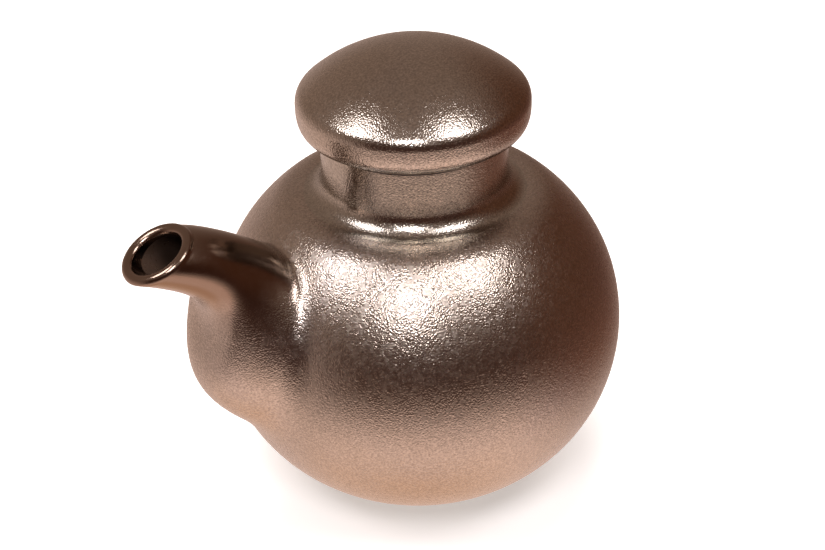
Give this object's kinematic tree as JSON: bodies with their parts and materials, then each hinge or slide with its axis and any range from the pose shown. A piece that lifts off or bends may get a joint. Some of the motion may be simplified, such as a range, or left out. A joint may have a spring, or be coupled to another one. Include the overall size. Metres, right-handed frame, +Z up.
{
  "type": "lidded sake pourer",
  "caption": "Round glazed stoneware sake pourer with a short neck, a horn-shaped spout on a bulbous root and a thick mushroom-shaped lid that lifts off.",
  "frame": {"origin": "centre of the plane that the foot ring rests on, on the jar's axis", "axes": "+Z up along the jar's axis; the spout points along -X; +Y completes the right-handed set"},
  "size_m": [0.1259, 0.1, 0.116],
  "materials": {
    "lustre_glaze": "satin bronze lustre glaze with fine speckle",
    "bare_clay": "unglazed fired clay"
  },
  "bodies": {
    "vessel": {"body": "lustre_glaze", "neck_collar": "lustre_glaze", "foot_ring": "bare_clay", "spout": "lustre_glaze"},
    "lid": {"lid_cap": "lustre_glaze", "lid_flange": "bare_clay"}
  },
  "joints": [
    {"name": "lid_lift", "type": "slide", "parent": "vessel", "child": "lid", "axis": [0, 0, 1], "range_m": [0, 0.05]}
  ]
}
